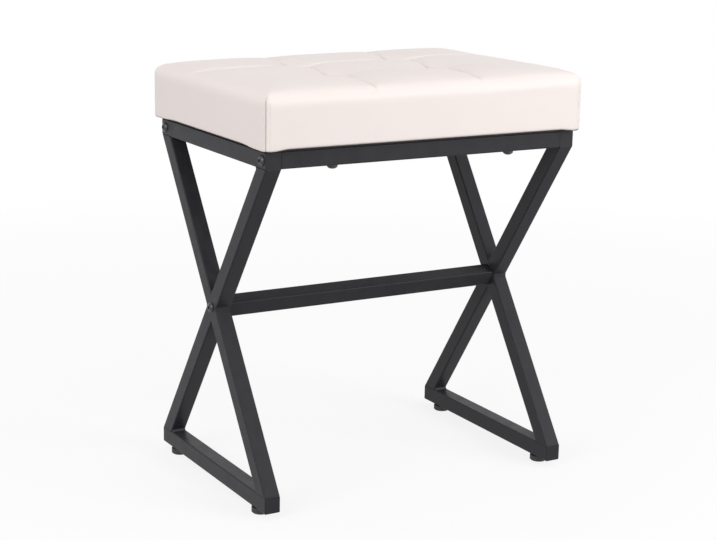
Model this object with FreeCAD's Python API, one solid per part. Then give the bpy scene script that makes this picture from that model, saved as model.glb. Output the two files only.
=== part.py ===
import FreeCAD, Part
import math
import os

# X frame stool with a tufted seat pad. Millimetres, +Z up.
# The origin is on the floor under the middle of the stool.
# X runs along the stool's width, from left to right, and Y from front to back.

# Steel frame
FRAME_WIDTH = 400.0        # over the outer faces of the two side frames
TOP_DEPTH = 272.0          # over the end faces of a side frame's top rail
BOTTOM_DEPTH = 278.0       # over the end faces of its bottom rail
FRAME_HEIGHT = 403.0       # bottom rail's underside to top rail's upper face
TUBE = 19.0                # outer size of the square tube
TUBE_WALL = 1.2
TUBE_CORNER = 1.6          # outer corner radius of the tube
CAP_THICK = 1.2            # plates that close the rails' ends
CAP_ROUND = 0.8            # rounding of a plate's outer edge
STRETCHER_TURN = 20.0      # degrees: the stretcher is turned about its own length
PLUG_LENGTH = 12.0         # tapped plugs in the ends of the cross tubes
PLUG_GAP = 0.1             # between a plug and the tube's inner walls
BEAD_LEG = 3.0             # leg of a weld bead in an inner corner
SEAM_R = 0.9               # bead along the outer edge of a joint
SEAM_SUNK = 0.5            # its middle line lies this far inside the rail's end
BEAD_SETBACK = 1.0         # a bead stops short of the tube's sides

# Button head bolts, M6
BOLT_R = 2.95
BOLT_HOLE_R = 3.3
TAPPED_R = 3.0
HEAD_R = 6.0
HEAD_HEIGHT = 3.3
HEAD_RIM = 0.7             # straight rim of the head below its dome
DOME_MID_ACROSS = 0.72     # a point on the dome, as shares of its radius and height
DOME_MID_UP = 0.68
HEX_SIDES = 6
SOCKET_ACROSS = 4.0
SOCKET_DEPTH = 1.8
SIDE_BOLT_LENGTH = 30.0
SEAT_BOLT_LENGTH = 35.0
SEAT_BOLT_X = 115.0        # bolts up through the long rails, either side of the middle
WASHER_R = 6.0
WASHER_HOLE_R = 3.2
WASHER_THICK = 1.6

# Levelling feet
FOOT_SHOW = 7.7            # floor to the bottom rail's underside
FOOT_INSET = 29.0          # foot's axis to the bottom rail's end face
PAD_R = 10.3
PAD_HEIGHT = 6.8
PAD_EDGE = 1.2             # bevel round the pad's lower edge
PAD_LIP = 0.4              # bevel round its upper edge
PAD_FLOOR = 1.5            # plastic under the stud's head
STUD_R = 2.95
STUD_TOP = 23.0
STUD_HEAD_R = 4.5
STUD_HEAD_THICK = 1.5
STUD_HEAD_PLAY = 0.3
RIVET_NUT_R = 4.5
RIVET_NUT_LENGTH = 12.0
RIVET_NUT_FLANGE_R = 6.0
RIVET_NUT_FLANGE = 0.6
RIVET_NUT_HOLE_R = 4.6

# Seat pad
PAD_WIDTH = 410.0
PAD_DEPTH = 292.0
SKIN = 1.0                 # cover material
SKIN_GAP = 0.3             # cover to the foam and board inside it
BOTTOM_ROUND = 5.0
SHOULDER_ROUND = 16.0
SHOULDER_SWEEP = 75.0      # degrees of the rounding before the top takes over
SHOULDER_START = 51.0      # height of the straight sides' upper end over the pad's bottom
PLAN_CORNER = 7.0          # upright corner edges, seen from above
EDGE_RISE = 62.5           # heights over the pad's bottom: top surface at the outer edges
PUFF_RISE = 72.0           # middle of a puff
CREASE_RISE = 67.5         # middle of a crease between two puffs
TUFT_RISE = 62.0           # tuft point, where two creases cross
CREASE_END_RISE = 60.5     # end of a crease at an outer edge
ROW_STEPS = 4              # sections along one row of puffs, less one
BOARD_THICK = 12.0
BOARD_SETBACK = 3.0        # board's edge to the outside of the cover
BOARD_CORNER = 6.0
TURN_UNDER = 28.0          # cover folded in under the board
DUST_THICK = 0.5
DUST_INSET = 12.0
TIE_R = 0.6                # cords that pull the tufts down
TIE_HOLE_R = 1.2
TIE_KNOT_R = 2.6
TIE_POCKET_R = 3.4
TIE_POCKET_DEPTH = 7.0
TIE_TOP_GAP = 3.0          # tie's upper end below the tuft point's outside

# Tee nuts in the seat board
TEE_BARREL_R = 4.0
TEE_BARREL_LENGTH = 9.0
TEE_FLANGE_R = 9.5
TEE_FLANGE = 1.5
TEE_HOLE_R = 4.1
TEE_RECESS_PLAY = 0.5

# Staples
STAPLE_CROWN = 10.0
STAPLE_WIRE = 0.7
STAPLE_LEG = 8.0
COVER_STAPLE_LINE = 13.0   # staple line to the pad's outside, on all four sides
DUST_STAPLE_LINE = 36.0
STAPLE_PITCH = 40.0

# Derived values
RAIL_BOTTOM = FOOT_SHOW
RAIL_TOP = RAIL_BOTTOM + FRAME_HEIGHT
LOWER_INNER = RAIL_BOTTOM + TUBE
UPPER_INNER = RAIL_TOP - TUBE
SIDE_X = (FRAME_WIDTH - TUBE) / 2.0
INNER_X = FRAME_WIDTH / 2.0 - TUBE
HALF_TOP = TOP_DEPTH / 2.0
HALF_BOTTOM = BOTTOM_DEPTH / 2.0
RAIL_Y = HALF_TOP - TUBE / 2.0
RAIL_Z = RAIL_TOP - TUBE / 2.0
LOW_RAIL_Z = RAIL_BOTTOM + TUBE / 2.0
FOOT_Y = HALF_BOTTOM - FOOT_INSET
PAD_BOTTOM = RAIL_TOP + DUST_THICK
BOARD_BOTTOM = PAD_BOTTOM + SKIN
BOARD_TOP = BOARD_BOTTOM + BOARD_THICK
HALF_W = PAD_WIDTH / 2.0
HALF_D = PAD_DEPTH / 2.0
TUFT_X = PAD_WIDTH / 6.0
TUFT_Y = PAD_DEPTH / 6.0
FAR = 600.0                # longer than the whole stool
PAST = 1.0                 # how far a cutting shape runs past a face

SIDES = {"left": -1, "right": 1}
ENDS = {"front": -1, "rear": 1}
X_AXIS = FreeCAD.Vector(1, 0, 0)
Y_AXIS = FreeCAD.Vector(0, 1, 0)
Z_AXIS = FreeCAD.Vector(0, 0, 1)
ORIGIN = FreeCAD.Vector(0, 0, 0)


def vec(x, y, z):
    return FreeCAD.Vector(x, y, z)


def block(x0, x1, y0, y1, z0, z1):
    """A box between two opposite corners."""
    return Part.makeBox(x1 - x0, y1 - y0, z1 - z0, vec(x0, y0, z0))


def rounded_bar(width, depth, radius, length):
    """A bar along +Z, centred on the Z axis, with its four long edges rounded."""
    bar = block(-width / 2.0, width / 2.0, -depth / 2.0, depth / 2.0, 0.0, length)
    upright = [edge for edge in bar.Edges if edge.BoundBox.ZLength > length / 2.0]
    return bar.makeFillet(radius, upright)


def tube(length):
    """Square tube along +Z, centred on the Z axis."""
    bore = TUBE - 2.0 * TUBE_WALL
    hollow = block(-bore / 2.0, bore / 2.0, -bore / 2.0, bore / 2.0, 0.0, length)
    return rounded_bar(TUBE, TUBE, TUBE_CORNER, length).cut(hollow)


def laid(shape, axis, degrees, place):
    """A copy turned about an axis through the origin, then moved."""
    copy = shape.copy()
    copy.rotate(ORIGIN, axis, degrees)
    copy.translate(place)
    return copy


def along_x(shape, x, y, z):
    """A shape made along +Z, laid along +X from the given point."""
    return laid(shape, Y_AXIS, 90.0, vec(x, y, z))


def along_y(shape, x, y, z):
    """A shape made along +Z, laid along +Y from the given point."""
    return laid(shape, X_AXIS, -90.0, vec(x, y, z))


def prism_x(points, x0, x1):
    """A prism along X between x0 and x1, from (y, z) corner points."""
    corners = [vec(x0, y, z) for y, z in points]
    wire = Part.makePolygon(corners + [corners[0]])
    return Part.Face(wire).extrude(vec(x1 - x0, 0, 0))


def rod_x(radius, x0, x1, y, z):
    return Part.makeCylinder(radius, x1 - x0, vec(x0, y, z), X_AXIS)


def rod_z(radius, z0, z1, x, y):
    return Part.makeCylinder(radius, z1 - z0, vec(x, y, z0), Z_AXIS)


def group(solids):
    """Separate solids that share one node."""
    return Part.makeCompound(solids)


# Side frames

def diagonal_lean():
    """Angle from the upright of a diagonal whose outer edges start at the rails' corners."""
    rise = UPPER_INNER - LOWER_INNER
    across = HALF_TOP + HALF_BOTTOM
    return math.atan2(across, rise) - math.asin(TUBE / math.hypot(across, rise))


def crossing_height():
    """Height at which the two diagonals' middle lines cross.

    The top rail is the shorter one, so they cross a little above the middle.
    """
    off_middle = (HALF_BOTTOM - HALF_TOP) / 2.0
    return (RAIL_BOTTOM + RAIL_TOP) / 2.0 + off_middle / math.tan(LEAN)


LEAN = diagonal_lean()
CROSS_Z = crossing_height()


def diagonal(bar, side, direction):
    """A bar through the crossing, cut level at both rails.

    With direction 1 it runs from the front top to the rear bottom.
    """
    middle = bar.copy()
    middle.translate(vec(0, 0, -FAR / 2.0))
    place = vec(side * SIDE_X, 0, CROSS_Z)
    turned = laid(middle, X_AXIS, direction * math.degrees(LEAN), place)
    return turned.common(block(-FAR, FAR, -FAR, FAR, LOWER_INNER, UPPER_INNER))


def long_diagonal(side):
    """The diagonal that is one tube from rail to rail, drilled for the stretcher's bolt."""
    hole = rod_x(BOLT_HOLE_R, -FAR, FAR, 0.0, CROSS_Z)
    return diagonal(tube(FAR), side, 1).cut(hole)


def half_diagonals(side):
    """Upper and lower halves of the other diagonal, butted against the long one."""
    solid_bar = rounded_bar(TUBE, TUBE, TUBE_CORNER, FAR)
    halves = diagonal(tube(FAR), side, -1).cut(diagonal(solid_bar, side, 1))
    ordered = sorted(halves.Solids, key=lambda solid: solid.CenterOfMass.z)
    return ordered[-1], ordered[0]


def side_rail(bar, side, half_depth, z):
    """A bar laid as a side frame's rail, centred front to back."""
    return along_y(bar, side * SIDE_X, -half_depth + CAP_THICK, z)


def side_top_rail(side):
    rail = side_rail(tube(TOP_DEPTH - 2.0 * CAP_THICK), side, HALF_TOP, RAIL_Z)
    for end in ENDS.values():
        rail = rail.cut(rod_x(BOLT_HOLE_R, -FAR, FAR, end * RAIL_Y, RAIL_Z))
    return rail


def side_bottom_rail(side):
    rail = side_rail(tube(BOTTOM_DEPTH - 2.0 * CAP_THICK), side, HALF_BOTTOM, LOW_RAIL_Z)
    for end in ENDS.values():
        hole = rod_z(RIVET_NUT_HOLE_R, 0.0, LOW_RAIL_Z, side * SIDE_X, end * FOOT_Y)
        rail = rail.cut(hole)
    return rail


def rail_caps(side, half_depth, z):
    """The two plates that close one rail's ends, their outer edges rounded."""
    plate = rounded_bar(TUBE, TUBE, TUBE_CORNER, CAP_THICK)
    rim = [edge for edge in plate.Edges if edge.BoundBox.ZMin > CAP_THICK / 2.0]
    plate = plate.makeFillet(CAP_ROUND, rim)
    back = half_depth - CAP_THICK
    caps = []
    for end in ENDS.values():
        caps.append(laid(plate, X_AXIS, -end * 90.0, vec(side * SIDE_X, end * back, z)))
    return group(caps)


def corner_bead(side, corner, arm_a, arm_b):
    """A three-cornered bead in the corner where two tube faces meet.

    corner is (y, z). Each arm is a unit direction (y, z) along one of the faces.
    """
    points = [corner]
    for arm in (arm_a, arm_b):
        points.append((corner[0] + BEAD_LEG * arm[0], corner[1] + BEAD_LEG * arm[1]))
    half = TUBE / 2.0 - BEAD_SETBACK
    return prism_x(points, side * SIDE_X - half, side * SIDE_X + half)


def crossing_beads(side):
    """Beads in the four corners of the crossing."""
    up = (math.sin(LEAN), math.cos(LEAN))
    notch_y = TUBE / 2.0 / math.cos(LEAN)
    notch_z = TUBE / 2.0 / math.sin(LEAN)
    beads = []
    for sign in (-1, 1):
        arms = [(y_sign * up[0], sign * up[1]) for y_sign in (-1, 1)]
        beads.append(corner_bead(side, (0.0, CROSS_Z + sign * notch_z), arms[0], arms[1]))
        arms = [(sign * up[0], z_sign * up[1]) for z_sign in (-1, 1)]
        beads.append(corner_bead(side, (sign * notch_y, CROSS_Z), arms[0], arms[1]))
    return beads


def inner_bead(side, end, half_depth, face_z, inward):
    """Bead in the acute corner between a rail and the diagonal that stands on it."""
    corner = (end * (half_depth - TUBE / math.cos(LEAN)), face_z)
    rail_arm = (-end, 0.0)
    tube_arm = (-end * math.sin(LEAN), inward * math.cos(LEAN))
    return corner_bead(side, corner, rail_arm, tube_arm)


def outer_seam(side, end, half_depth, face_z, around):
    """Fine bead along the outer edge of the same joint, fitted round the pieces it joins."""
    half = TUBE / 2.0 - BEAD_SETBACK
    centre = side * SIDE_X
    seam = rod_x(SEAM_R, centre - half, centre + half, end * (half_depth - SEAM_SUNK), face_z)
    return seam.cut(around)


def rail_beads(side):
    """Beads where the diagonals stand on the rails: inner corners and outer edges."""
    diagonals = [diagonal(rounded_bar(TUBE, TUBE, TUBE_CORNER, FAR), side, way) for way in (-1, 1)]
    joints = (
        (HALF_BOTTOM, LOW_RAIL_Z, LOWER_INNER, 1),
        (HALF_TOP, RAIL_Z, UPPER_INNER, -1),
    )
    beads = []
    for half_depth, rail_z, face_z, inward in joints:
        bar = rounded_bar(TUBE, TUBE, TUBE_CORNER, 2.0 * (half_depth - CAP_THICK))
        around = diagonals + [side_rail(bar, side, half_depth, rail_z)]
        around.extend(rail_caps(side, half_depth, rail_z).Solids)
        for end in ENDS.values():
            beads.append(inner_bead(side, end, half_depth, face_z, inward))
            beads.extend(outer_seam(side, end, half_depth, face_z, around).Solids)
    return beads


def weld_beads(side):
    return group(crossing_beads(side) + rail_beads(side))


# Cross tubes and their tapped plugs

def plug(turn):
    """A tapped plug along +Z that fills a cross tube's end."""
    width = TUBE - 2.0 * TUBE_WALL - 2.0 * PLUG_GAP
    body = block(-width / 2.0, width / 2.0, -width / 2.0, width / 2.0, 0.0, PLUG_LENGTH)
    body = body.cut(rod_z(TAPPED_R, -PAST, PLUG_LENGTH + PAST, 0.0, 0.0))
    return laid(body, Z_AXIS, turn, ORIGIN)


def end_plugs(y, z, turn):
    left = along_x(plug(turn), -INNER_X, y, z)
    right = along_x(plug(turn), INNER_X - PLUG_LENGTH, y, z)
    return group([left, right])


def long_rail(end):
    """Front or rear rail between the side frames, drilled for the seat's bolts."""
    rail = along_x(tube(2.0 * INNER_X), -INNER_X, end * RAIL_Y, RAIL_Z)
    for x in (-SEAT_BOLT_X, SEAT_BOLT_X):
        rail = rail.cut(rod_z(BOLT_HOLE_R, UPPER_INNER - PAST, RAIL_TOP + PAST, x, end * RAIL_Y))
    return rail


def stretcher():
    """Cross tube between the two crossings, turned about its own length."""
    turned = laid(tube(2.0 * INNER_X), Z_AXIS, STRETCHER_TURN, ORIGIN)
    return along_x(turned, -INNER_X, 0.0, CROSS_Z)


# Bolts and washers

def button_bolt(length):
    """A bolt along Z: head above z = 0, shank below."""
    dome_mid = vec(HEAD_R * DOME_MID_ACROSS, 0, HEAD_RIM + (HEAD_HEIGHT - HEAD_RIM) * DOME_MID_UP)
    rim = vec(HEAD_R, 0, HEAD_RIM)
    top = vec(0, 0, HEAD_HEIGHT)
    tip = vec(0, 0, -length)
    outline = [top, tip, vec(BOLT_R, 0, -length), vec(BOLT_R, 0, 0), vec(HEAD_R, 0, 0), rim]
    edges = [Part.makeLine(a, b) for a, b in zip(outline[:-1], outline[1:])]
    edges.append(Part.Arc(rim, dome_mid, top).toShape())
    bolt = Part.Face(Part.Wire(edges)).revolve(ORIGIN, Z_AXIS, 360.0)
    socket_r = SOCKET_ACROSS / math.sqrt(3.0)
    corners = []
    for step in range(HEX_SIDES + 1):
        angle = 2.0 * math.pi * step / HEX_SIDES
        corners.append(vec(socket_r * math.cos(angle), socket_r * math.sin(angle), HEAD_HEIGHT + PAST))
    socket = Part.Face(Part.makePolygon(corners)).extrude(vec(0, 0, -SOCKET_DEPTH - PAST))
    return bolt.cut(socket)


def side_bolts(side):
    """Two bolts into the long rails and one into the stretcher, heads outside."""
    bolts = []
    for y, z in ((-RAIL_Y, RAIL_Z), (RAIL_Y, RAIL_Z), (0.0, CROSS_Z)):
        bolt = button_bolt(SIDE_BOLT_LENGTH)
        bolts.append(laid(bolt, Y_AXIS, side * 90.0, vec(side * FRAME_WIDTH / 2.0, y, z)))
    return group(bolts)


def seat_bolt_places():
    return [(x, end * RAIL_Y) for x in (-SEAT_BOLT_X, SEAT_BOLT_X) for end in ENDS.values()]


def seat_bolts():
    bolts = []
    for x, y in seat_bolt_places():
        bolt = button_bolt(SEAT_BOLT_LENGTH)
        bolts.append(laid(bolt, X_AXIS, 180.0, vec(x, y, UPPER_INNER - WASHER_THICK)))
    return group(bolts)


def seat_washers():
    washers = []
    for x, y in seat_bolt_places():
        disc = rod_z(WASHER_R, UPPER_INNER - WASHER_THICK, UPPER_INNER, x, y)
        washers.append(disc.cut(rod_z(WASHER_HOLE_R, 0.0, FAR, x, y)))
    return group(washers)


# Levelling feet

def foot_nuts(side):
    """Rivet nuts in the underside of one bottom rail."""
    nuts = []
    for end in ENDS.values():
        x = side * SIDE_X
        y = end * FOOT_Y
        barrel = rod_z(RIVET_NUT_R, RAIL_BOTTOM - RIVET_NUT_FLANGE, RAIL_BOTTOM + RIVET_NUT_LENGTH, x, y)
        flange = rod_z(RIVET_NUT_FLANGE_R, RAIL_BOTTOM - RIVET_NUT_FLANGE, RAIL_BOTTOM, x, y)
        bore = rod_z(TAPPED_R, 0.0, LOWER_INNER, x, y)
        nuts.append(barrel.fuse(flange).removeSplitter().cut(bore))
    return group(nuts)


def foot_stud(x, y):
    """Threaded stud with a flat head held inside the pad."""
    head_z = PAD_FLOOR + STUD_HEAD_PLAY
    head = rod_z(STUD_HEAD_R, head_z, head_z + STUD_HEAD_THICK, x, y)
    return rod_z(STUD_R, head_z, STUD_TOP, x, y).fuse(head).removeSplitter()


def foot_pad(x, y):
    """Round plastic pad with a bevelled rim, moulded round the stud's head."""
    profile = [
        (0.0, 0.0),
        (PAD_R - PAD_EDGE, 0.0),
        (PAD_R, PAD_EDGE),
        (PAD_R, PAD_HEIGHT - PAD_LIP),
        (PAD_R - PAD_LIP, PAD_HEIGHT),
        (0.0, PAD_HEIGHT),
    ]
    corners = [vec(r, 0, z) for r, z in profile]
    wire = Part.makePolygon(corners + [corners[0]])
    pad = Part.Face(wire).revolve(ORIGIN, Z_AXIS, 360.0)
    cavity_top = PAD_FLOOR + 2.0 * STUD_HEAD_PLAY + STUD_HEAD_THICK
    pad = pad.cut(rod_z(STUD_HEAD_R + STUD_HEAD_PLAY, PAD_FLOOR, cavity_top, 0.0, 0.0))
    pad = pad.cut(rod_z(TAPPED_R, PAD_FLOOR, PAD_HEIGHT + PAST, 0.0, 0.0))
    pad.translate(vec(x, y, 0))
    return pad


# Seat pad

def side_profile(half, inset, to_point):
    """Envelope of the pad in one direction: rounded bottom edges, straight sides, rounded shoulders.

    Above the shoulders it only rises to a ridge, well clear of the puffs.
    to_point turns (across, height) into a point in space.
    """
    edge = half - inset
    low = PAD_BOTTOM + inset
    low_r = BOTTOM_ROUND - inset
    top_r = SHOULDER_ROUND - inset
    start = PAD_BOTTOM + SHOULDER_START
    sweep = math.radians(SHOULDER_SWEEP)

    def on_arc(sign, centre_z, radius, angle, up):
        across = edge - radius + radius * math.cos(angle)
        return to_point(sign * across, centre_z + up * radius * math.sin(angle))

    quarter = math.pi / 2.0
    roof_across = edge - top_r + top_r * math.cos(sweep)
    roof_z = start + top_r * math.sin(sweep) + roof_across / math.tan(sweep)
    edges = [Part.makeLine(to_point(-(edge - low_r), low), to_point(edge - low_r, low))]
    for sign in (1, -1):
        low_end = on_arc(sign, low + low_r, low_r, quarter, -1)
        low_mid = on_arc(sign, low + low_r, low_r, quarter / 2.0, -1)
        low_start = on_arc(sign, low + low_r, low_r, 0.0, -1)
        top_start = on_arc(sign, start, top_r, 0.0, 1)
        top_mid = on_arc(sign, start, top_r, sweep / 2.0, 1)
        top_end = on_arc(sign, start, top_r, sweep, 1)
        edges.append(Part.Arc(low_end, low_mid, low_start).toShape())
        edges.append(Part.makeLine(low_start, top_start))
        edges.append(Part.Arc(top_start, top_mid, top_end).toShape())
        edges.append(Part.makeLine(top_end, to_point(0.0, roof_z)))
    return Part.Face(Part.Wire(Part.__sortEdges__(edges)))


def puff_section(y, heights, inset):
    """Section of the puffs across the pad at one y.

    heights are the rises at the outer edges, at the creases and at the puffs' middles.
    """
    edge_z, crease_z, puff_z = [PAD_BOTTOM + rise - inset for rise in heights]
    low = PAD_BOTTOM - BOTTOM_ROUND
    nodes = [(-HALF_W, edge_z), (-TUFT_X, crease_z), (TUFT_X, crease_z), (HALF_W, edge_z)]
    edges = [Part.makeLine(vec(-HALF_W, y, low), vec(-HALF_W, y, edge_z))]
    for (x0, z0), (x1, z1) in zip(nodes[:-1], nodes[1:]):
        middle = vec((x0 + x1) / 2.0, y, puff_z)
        edges.append(Part.Arc(vec(x0, y, z0), middle, vec(x1, y, z1)).toShape())
    edges.append(Part.makeLine(vec(HALF_W, y, edge_z), vec(HALF_W, y, low)))
    edges.append(Part.makeLine(vec(HALF_W, y, low), vec(-HALF_W, y, low)))
    return Part.Wire(edges)


def puff_row(y_start, y_end, start, middle, end, inset):
    """One row of three puffs, swelling between the heights at its two ends."""
    sections = []
    for step in range(ROW_STEPS + 1):
        t = step / ROW_STEPS
        swell = math.sin(math.pi * t)
        heights = []
        for low_a, high, low_b in zip(start, middle, end):
            base = low_a + (low_b - low_a) * t
            heights.append(base + (high - base) * swell)
        y = y_start + (y_end - y_start) * t
        sections.append(puff_section(y, heights, inset))
    return Part.makeLoft(sections, True, False)


def pad_form(inset):
    """The whole pad, or the space inside it: crowned, with three by three puffs."""
    outer = (CREASE_END_RISE, CREASE_END_RISE, EDGE_RISE)
    swollen = (EDGE_RISE, CREASE_RISE, PUFF_RISE)
    crease = (CREASE_END_RISE, TUFT_RISE, CREASE_RISE)
    front = puff_row(-HALF_D, -TUFT_Y, outer, swollen, crease, inset)
    middle = puff_row(-TUFT_Y, TUFT_Y, crease, swollen, crease, inset)
    rear = puff_row(TUFT_Y, HALF_D, crease, swollen, outer, inset)
    puffs = front.fuse([middle, rear])
    across = side_profile(HALF_W, inset, lambda a, z: vec(a, -FAR / 2.0, z)).extrude(vec(0, FAR, 0))
    along = side_profile(HALF_D, inset, lambda a, z: vec(-FAR / 2.0, a, z)).extrude(vec(FAR, 0, 0))
    plan = rounded_bar(PAD_WIDTH - 2.0 * inset, PAD_DEPTH - 2.0 * inset, PLAN_CORNER - inset, FAR)
    return plan.common(across).common(along).common(puffs)


def tuft_places():
    return [(x, y) for x in (-TUFT_X, TUFT_X) for y in (-TUFT_Y, TUFT_Y)]


def staple_places(line, width, depth):
    """Centres and directions of staples on a line inside the pad's four sides."""
    places = []
    for half_across, half_along, turned in ((width / 2.0, depth / 2.0, False),
                                            (depth / 2.0, width / 2.0, True)):
        reach = half_across - line - STAPLE_CROWN
        count = int(2.0 * reach // STAPLE_PITCH)
        for step in range(count + 1):
            across = (step - count / 2.0) * STAPLE_PITCH
            for sign in (-1, 1):
                along = sign * (half_along - line)
                places.append((along, across, True) if turned else (across, along, False))
    return places


def staples(places, crown_z):
    """Wire staples: crown on the underside, two legs up into the board."""
    half = STAPLE_WIRE / 2.0
    reach = STAPLE_CROWN / 2.0
    crown = block(-reach, reach, -half, half, 0.0, STAPLE_WIRE)
    leg_a = block(-reach, -reach + STAPLE_WIRE, -half, half, STAPLE_WIRE, STAPLE_WIRE + STAPLE_LEG)
    leg_b = block(reach - STAPLE_WIRE, reach, -half, half, STAPLE_WIRE, STAPLE_WIRE + STAPLE_LEG)
    staple = crown.fuse([leg_a, leg_b]).removeSplitter()
    made = []
    for x, y, turned in places:
        made.append(laid(staple, Z_AXIS, 90.0 if turned else 0.0, vec(x, y, crown_z)))
    return group(made)


def cover_staples():
    return staples(staple_places(COVER_STAPLE_LINE, PAD_WIDTH, PAD_DEPTH), PAD_BOTTOM)


def dust_staples():
    return staples(staple_places(DUST_STAPLE_LINE, PAD_WIDTH, PAD_DEPTH), RAIL_TOP - STAPLE_WIRE)


def seat_board():
    """Plywood board with holes for tee nuts, ties and staples."""
    width = PAD_WIDTH - 2.0 * BOARD_SETBACK
    depth = PAD_DEPTH - 2.0 * BOARD_SETBACK
    board = rounded_bar(width, depth, BOARD_CORNER, BOARD_THICK)
    lower = [edge for edge in board.Edges if edge.BoundBox.ZMax < BOARD_THICK / 2.0]
    board = board.makeChamfer(BOARD_SETBACK, lower)
    board.translate(vec(0, 0, BOARD_BOTTOM))
    for x, y in seat_bolt_places():
        board = board.cut(rod_z(TEE_HOLE_R, 0.0, FAR, x, y))
    for x, y in tuft_places():
        board = board.cut(rod_z(TIE_HOLE_R, 0.0, FAR, x, y))
        board = board.cut(rod_z(TIE_POCKET_R, 0.0, BOARD_BOTTOM + TIE_POCKET_DEPTH, x, y))
    return board.cut(cover_staples()).cut(dust_staples())


def tee_nuts():
    """Nuts pressed into the board from above, one over each seat bolt."""
    nuts = []
    for x, y in seat_bolt_places():
        barrel = rod_z(TEE_BARREL_R, BOARD_TOP - TEE_BARREL_LENGTH, BOARD_TOP + TEE_FLANGE, x, y)
        flange = rod_z(TEE_FLANGE_R, BOARD_TOP, BOARD_TOP + TEE_FLANGE, x, y)
        bore = rod_z(TAPPED_R, 0.0, FAR, x, y)
        nuts.append(barrel.fuse(flange).removeSplitter().cut(bore))
    return group(nuts)


def foam_core():
    """Foam block under the cover, from the board's top to the puffs."""
    foam = pad_form(SKIN + SKIN_GAP).common(block(-FAR, FAR, -FAR, FAR, BOARD_TOP, FAR))
    for x, y in seat_bolt_places():
        recess_top = BOARD_TOP + TEE_FLANGE + TEE_RECESS_PLAY
        foam = foam.cut(rod_z(TEE_FLANGE_R + TEE_RECESS_PLAY, BOARD_TOP, recess_top, x, y))
    for x, y in tuft_places():
        foam = foam.cut(rod_z(TIE_HOLE_R, 0.0, FAR, x, y))
    return foam


def tuft_ties():
    """Cords from under the board up to the tuft points, each with a knot below."""
    knot_z = BOARD_BOTTOM + TIE_KNOT_R
    top = PAD_BOTTOM + TUFT_RISE - TIE_TOP_GAP
    ties = []
    for x, y in tuft_places():
        knot = Part.makeSphere(TIE_KNOT_R, vec(x, y, knot_z))
        ties.append(rod_z(TIE_R, knot_z, top, x, y).fuse(knot).removeSplitter())
    return group(ties)


def seat_cover():
    """Sewn skin over the top and sides, turned in under the board on all four sides."""
    skin = pad_form(0.0).cut(pad_form(SKIN))
    window_w = HALF_W - TURN_UNDER
    window_d = HALF_D - TURN_UNDER
    skin = skin.cut(block(-window_w, window_w, -window_d, window_d, 0.0, BOARD_BOTTOM + PAST))
    for x, y in seat_bolt_places():
        skin = skin.cut(rod_z(TEE_HOLE_R, 0.0, BOARD_BOTTOM + PAST, x, y))
    return skin.cut(cover_staples())


def dust_cover():
    """Thin fabric sheet closing the underside, held between the board and the rails."""
    half_w = HALF_W - DUST_INSET
    half_d = HALF_D - DUST_INSET
    sheet = block(-half_w, half_w, -half_d, half_d, RAIL_TOP, RAIL_TOP + DUST_THICK)
    for x, y in seat_bolt_places():
        sheet = sheet.cut(rod_z(BOLT_HOLE_R, 0.0, FAR, x, y))
    return sheet.cut(dust_staples())


def build():
    nodes = {}
    for name, side in SIDES.items():
        upper_half, lower_half = half_diagonals(side)
        nodes[name + "_top_rail"] = side_top_rail(side)
        nodes[name + "_bottom_rail"] = side_bottom_rail(side)
        nodes[name + "_top_rail_caps"] = rail_caps(side, HALF_TOP, RAIL_Z)
        nodes[name + "_bottom_rail_caps"] = rail_caps(side, HALF_BOTTOM, LOW_RAIL_Z)
        nodes[name + "_long_diagonal"] = long_diagonal(side)
        nodes[name + "_upper_half_diagonal"] = upper_half
        nodes[name + "_lower_half_diagonal"] = lower_half
        nodes[name + "_weld_beads"] = weld_beads(side)
        nodes[name + "_side_bolts"] = side_bolts(side)
        nodes[name + "_foot_nuts"] = foot_nuts(side)
        for end_name, end in ENDS.items():
            corner = end_name + "_" + name
            nodes[corner + "_foot_stud"] = foot_stud(side * SIDE_X, end * FOOT_Y)
            nodes[corner + "_foot_pad"] = foot_pad(side * SIDE_X, end * FOOT_Y)
    for name, end in ENDS.items():
        nodes[name + "_rail"] = long_rail(end)
        nodes[name + "_rail_plugs"] = end_plugs(end * RAIL_Y, RAIL_Z, 0.0)
    nodes["stretcher"] = stretcher()
    nodes["stretcher_plugs"] = end_plugs(0.0, CROSS_Z, STRETCHER_TURN)
    nodes["seat_board"] = seat_board()
    nodes["tee_nuts"] = tee_nuts()
    nodes["foam_core"] = foam_core()
    nodes["tuft_ties"] = tuft_ties()
    nodes["seat_cover"] = seat_cover()
    nodes["cover_staples"] = cover_staples()
    nodes["dust_cover"] = dust_cover()
    nodes["dust_cover_staples"] = dust_staples()
    nodes["seat_bolts"] = seat_bolts()
    nodes["seat_washers"] = seat_washers()
    return nodes


os.makedirs("parts", exist_ok=True)
for node, shape in build().items():
    box = shape.BoundBox
    print(node, len(shape.Solids), "solids", "valid" if shape.isValid() else "INVALID",
          "volume %.0f" % shape.Volume, "z %.1f to %.1f" % (box.ZMin, box.ZMax))
    shape.exportStep("parts/" + node + ".step")
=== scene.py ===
import math

import bpy
import numpy as np
from mathutils import Euler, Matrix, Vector
from mathutils.bvhtree import BVHTree


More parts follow.
